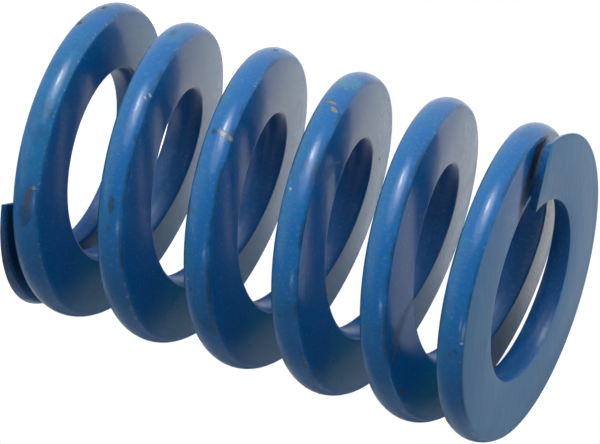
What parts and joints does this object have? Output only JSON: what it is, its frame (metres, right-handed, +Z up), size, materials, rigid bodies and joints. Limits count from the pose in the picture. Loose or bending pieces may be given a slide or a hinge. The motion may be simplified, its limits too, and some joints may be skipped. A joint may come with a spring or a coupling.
{
  "type": "die spring",
  "caption": "Blue painted compression spring of flat keystone wire, wound right-handed, with closed ends ground square.",
  "frame": {"origin": "centre of the lower ground end face, where the spring stands", "axes": "+Z up along the coil axis to the upper ground end, +X is the direction that the start angle of the wire is counted from"},
  "size_m": [0.0156, 0.0156, 0.025],
  "materials": {
    "blue_paint": "glossy blue paint over spring steel, thin on the ground end faces, with small chips and scuffs"
  },
  "bodies": {
    "root": {"spring_wire": "blue_paint"}
  },
  "joints": []
}
